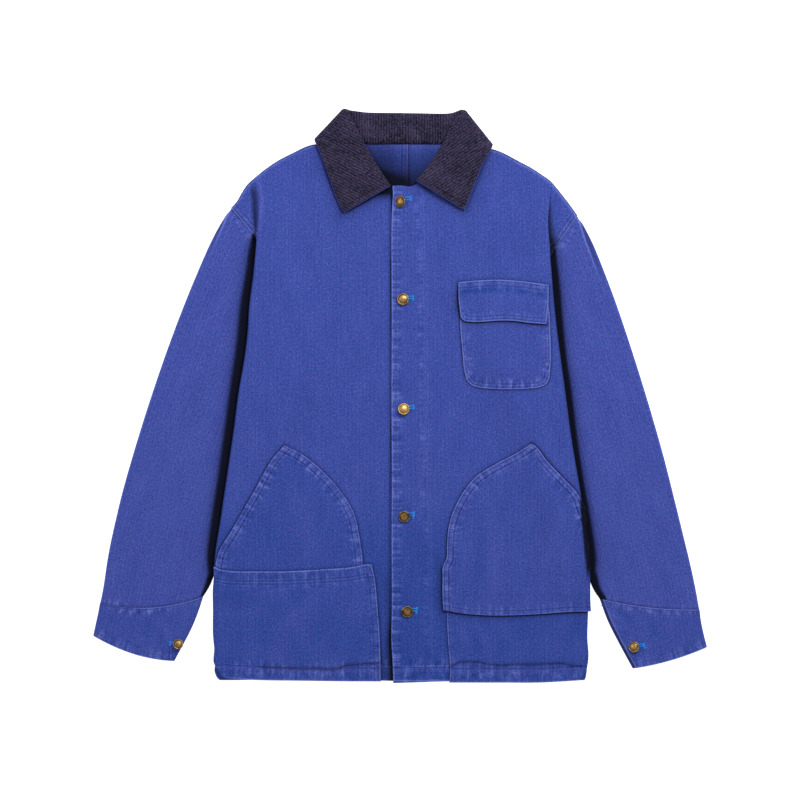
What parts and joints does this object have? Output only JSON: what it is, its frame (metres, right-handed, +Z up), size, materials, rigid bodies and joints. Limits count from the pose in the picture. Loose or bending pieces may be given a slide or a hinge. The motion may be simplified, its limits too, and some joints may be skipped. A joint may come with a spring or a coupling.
{
  "type": "chore jacket, laid flat",
  "caption": "Button-front twill work jacket laid flat on its back, with a corduroy collar, patch and bell-shaped hip pockets, a flapped chest pocket and buttoned cuffs.",
  "frame": {"origin": "on the surface the jacket lies on, under the middle of its outline", "axes": "+X to the wearer's left along the sleeves' spread, +Y from the hem to the collar, +Z up off the surface, the front facing up"},
  "size_m": [0.8605, 0.8009, 0.0154],
  "materials": {
    "blue_twill": "garment-washed royal blue cotton twill, matte, paler along the stitched seams",
    "navy_corduroy": "fine-wale navy cotton corduroy with a soft nap",
    "antique_brass": "antiqued brass, dark in the recesses"
  },
  "bodies": {
    "root": {"back_left": "blue_twill", "back_right": "blue_twill", "front_left": "blue_twill", "front_right": "blue_twill", "sleeve_left": "blue_twill", "sleeve_right": "blue_twill", "cuff_left": "blue_twill", "cuff_right": "blue_twill", "collar_top": "navy_corduroy", "collar_under": "blue_twill", "chest_pocket": "blue_twill", "chest_pocket_flap": "blue_twill", "hip_pocket_left_upper": "blue_twill", "hip_pocket_left_lower": "blue_twill", "hip_pocket_right_upper": "blue_twill", "hip_pocket_right_lower": "blue_twill", "button_front_1": "antique_brass", "button_front_2": "antique_brass", "button_front_3": "antique_brass", "button_front_4": "antique_brass", "button_front_5": "antique_brass", "button_cuff_left": "antique_brass", "button_cuff_right": "antique_brass"}
  },
  "joints": []
}
